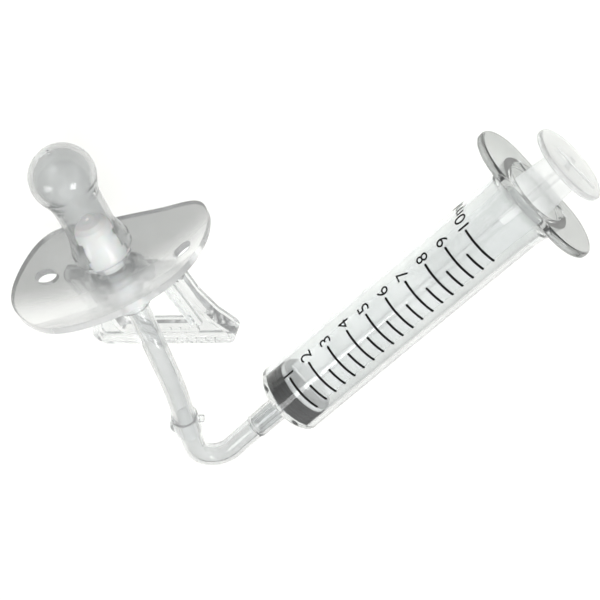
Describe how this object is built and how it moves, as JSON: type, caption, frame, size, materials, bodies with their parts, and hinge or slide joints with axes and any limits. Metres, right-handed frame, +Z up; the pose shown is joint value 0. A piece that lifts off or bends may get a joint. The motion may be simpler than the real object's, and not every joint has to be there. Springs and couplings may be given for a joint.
{
  "type": "oral syringe",
  "caption": "Oral syringe with a soft feeding tube that leads to a hollow pacifier with a curved shield and a swing handle.",
  "frame": {"origin": "middle of the footprint of everything but the tube, on the table", "axes": "+X from the nozzle towards the thumb disc in plan, +Z up from the table, +Y towards the pacifier"},
  "size_m": [0.1116, 0.1022, 0.0406],
  "materials": {
    "clear_plastic": "clear moulded plastic, glossy",
    "frosted_plastic": "milky translucent moulded plastic",
    "white_plastic": "white frosted plastic",
    "clear_silicone": "clear soft silicone",
    "black_rubber": "smooth black rubber with sealing ribs"
  },
  "bodies": {
    "pacifier": {"shield": "clear_plastic", "nipple": "clear_silicone", "nipple_insert": "white_plastic", "shield_hub": "clear_plastic", "feeding_tube": "clear_silicone", "tube_clip": "clear_plastic", "nozzle_sleeve": "clear_silicone"},
    "syringe": {"barrel": "clear_plastic"},
    "stopper": {"plunger_stopper": "black_rubber"},
    "plunger": {"plunger_rod": "frosted_plastic"},
    "swivel": {"handle_collar": "clear_plastic", "hinge_pin_left": "clear_plastic", "hinge_pin_right": "clear_plastic"},
    "handle": {"handle_ring": "clear_plastic"}
  },
  "joints": [
    {"name": "nozzle_pull", "type": "slide", "parent": "pacifier", "child": "syringe", "axis": [0.9982, 0, 0.0607], "range_m": [0, 0.03]},
    {"name": "plunger_slide", "type": "slide", "parent": "syringe", "child": "stopper", "axis": [0.9982, 0, 0.0607], "range_m": [0, 0.062]},
    {"name": "plunger_turn", "type": "hinge", "parent": "stopper", "child": "plunger", "pos_m": [-0.02944, -0.03528, 0.00888], "axis": [0.9982, 0, 0.0607], "continuous": true},
    {"name": "handle_swivel", "type": "hinge", "parent": "pacifier", "child": "swivel", "pos_m": [-0.02905, 0.01938, 0.01467], "axis": [0.4289, 0.9033, 0], "range_deg": [-45, 45]},
    {"name": "handle_swing", "type": "hinge", "parent": "swivel", "child": "handle", "pos_m": [-0.02885, 0.01785, 0.01319], "axis": [-0.7862, 0.3733, -0.4924], "range_deg": [-60, 0]}
  ]
}
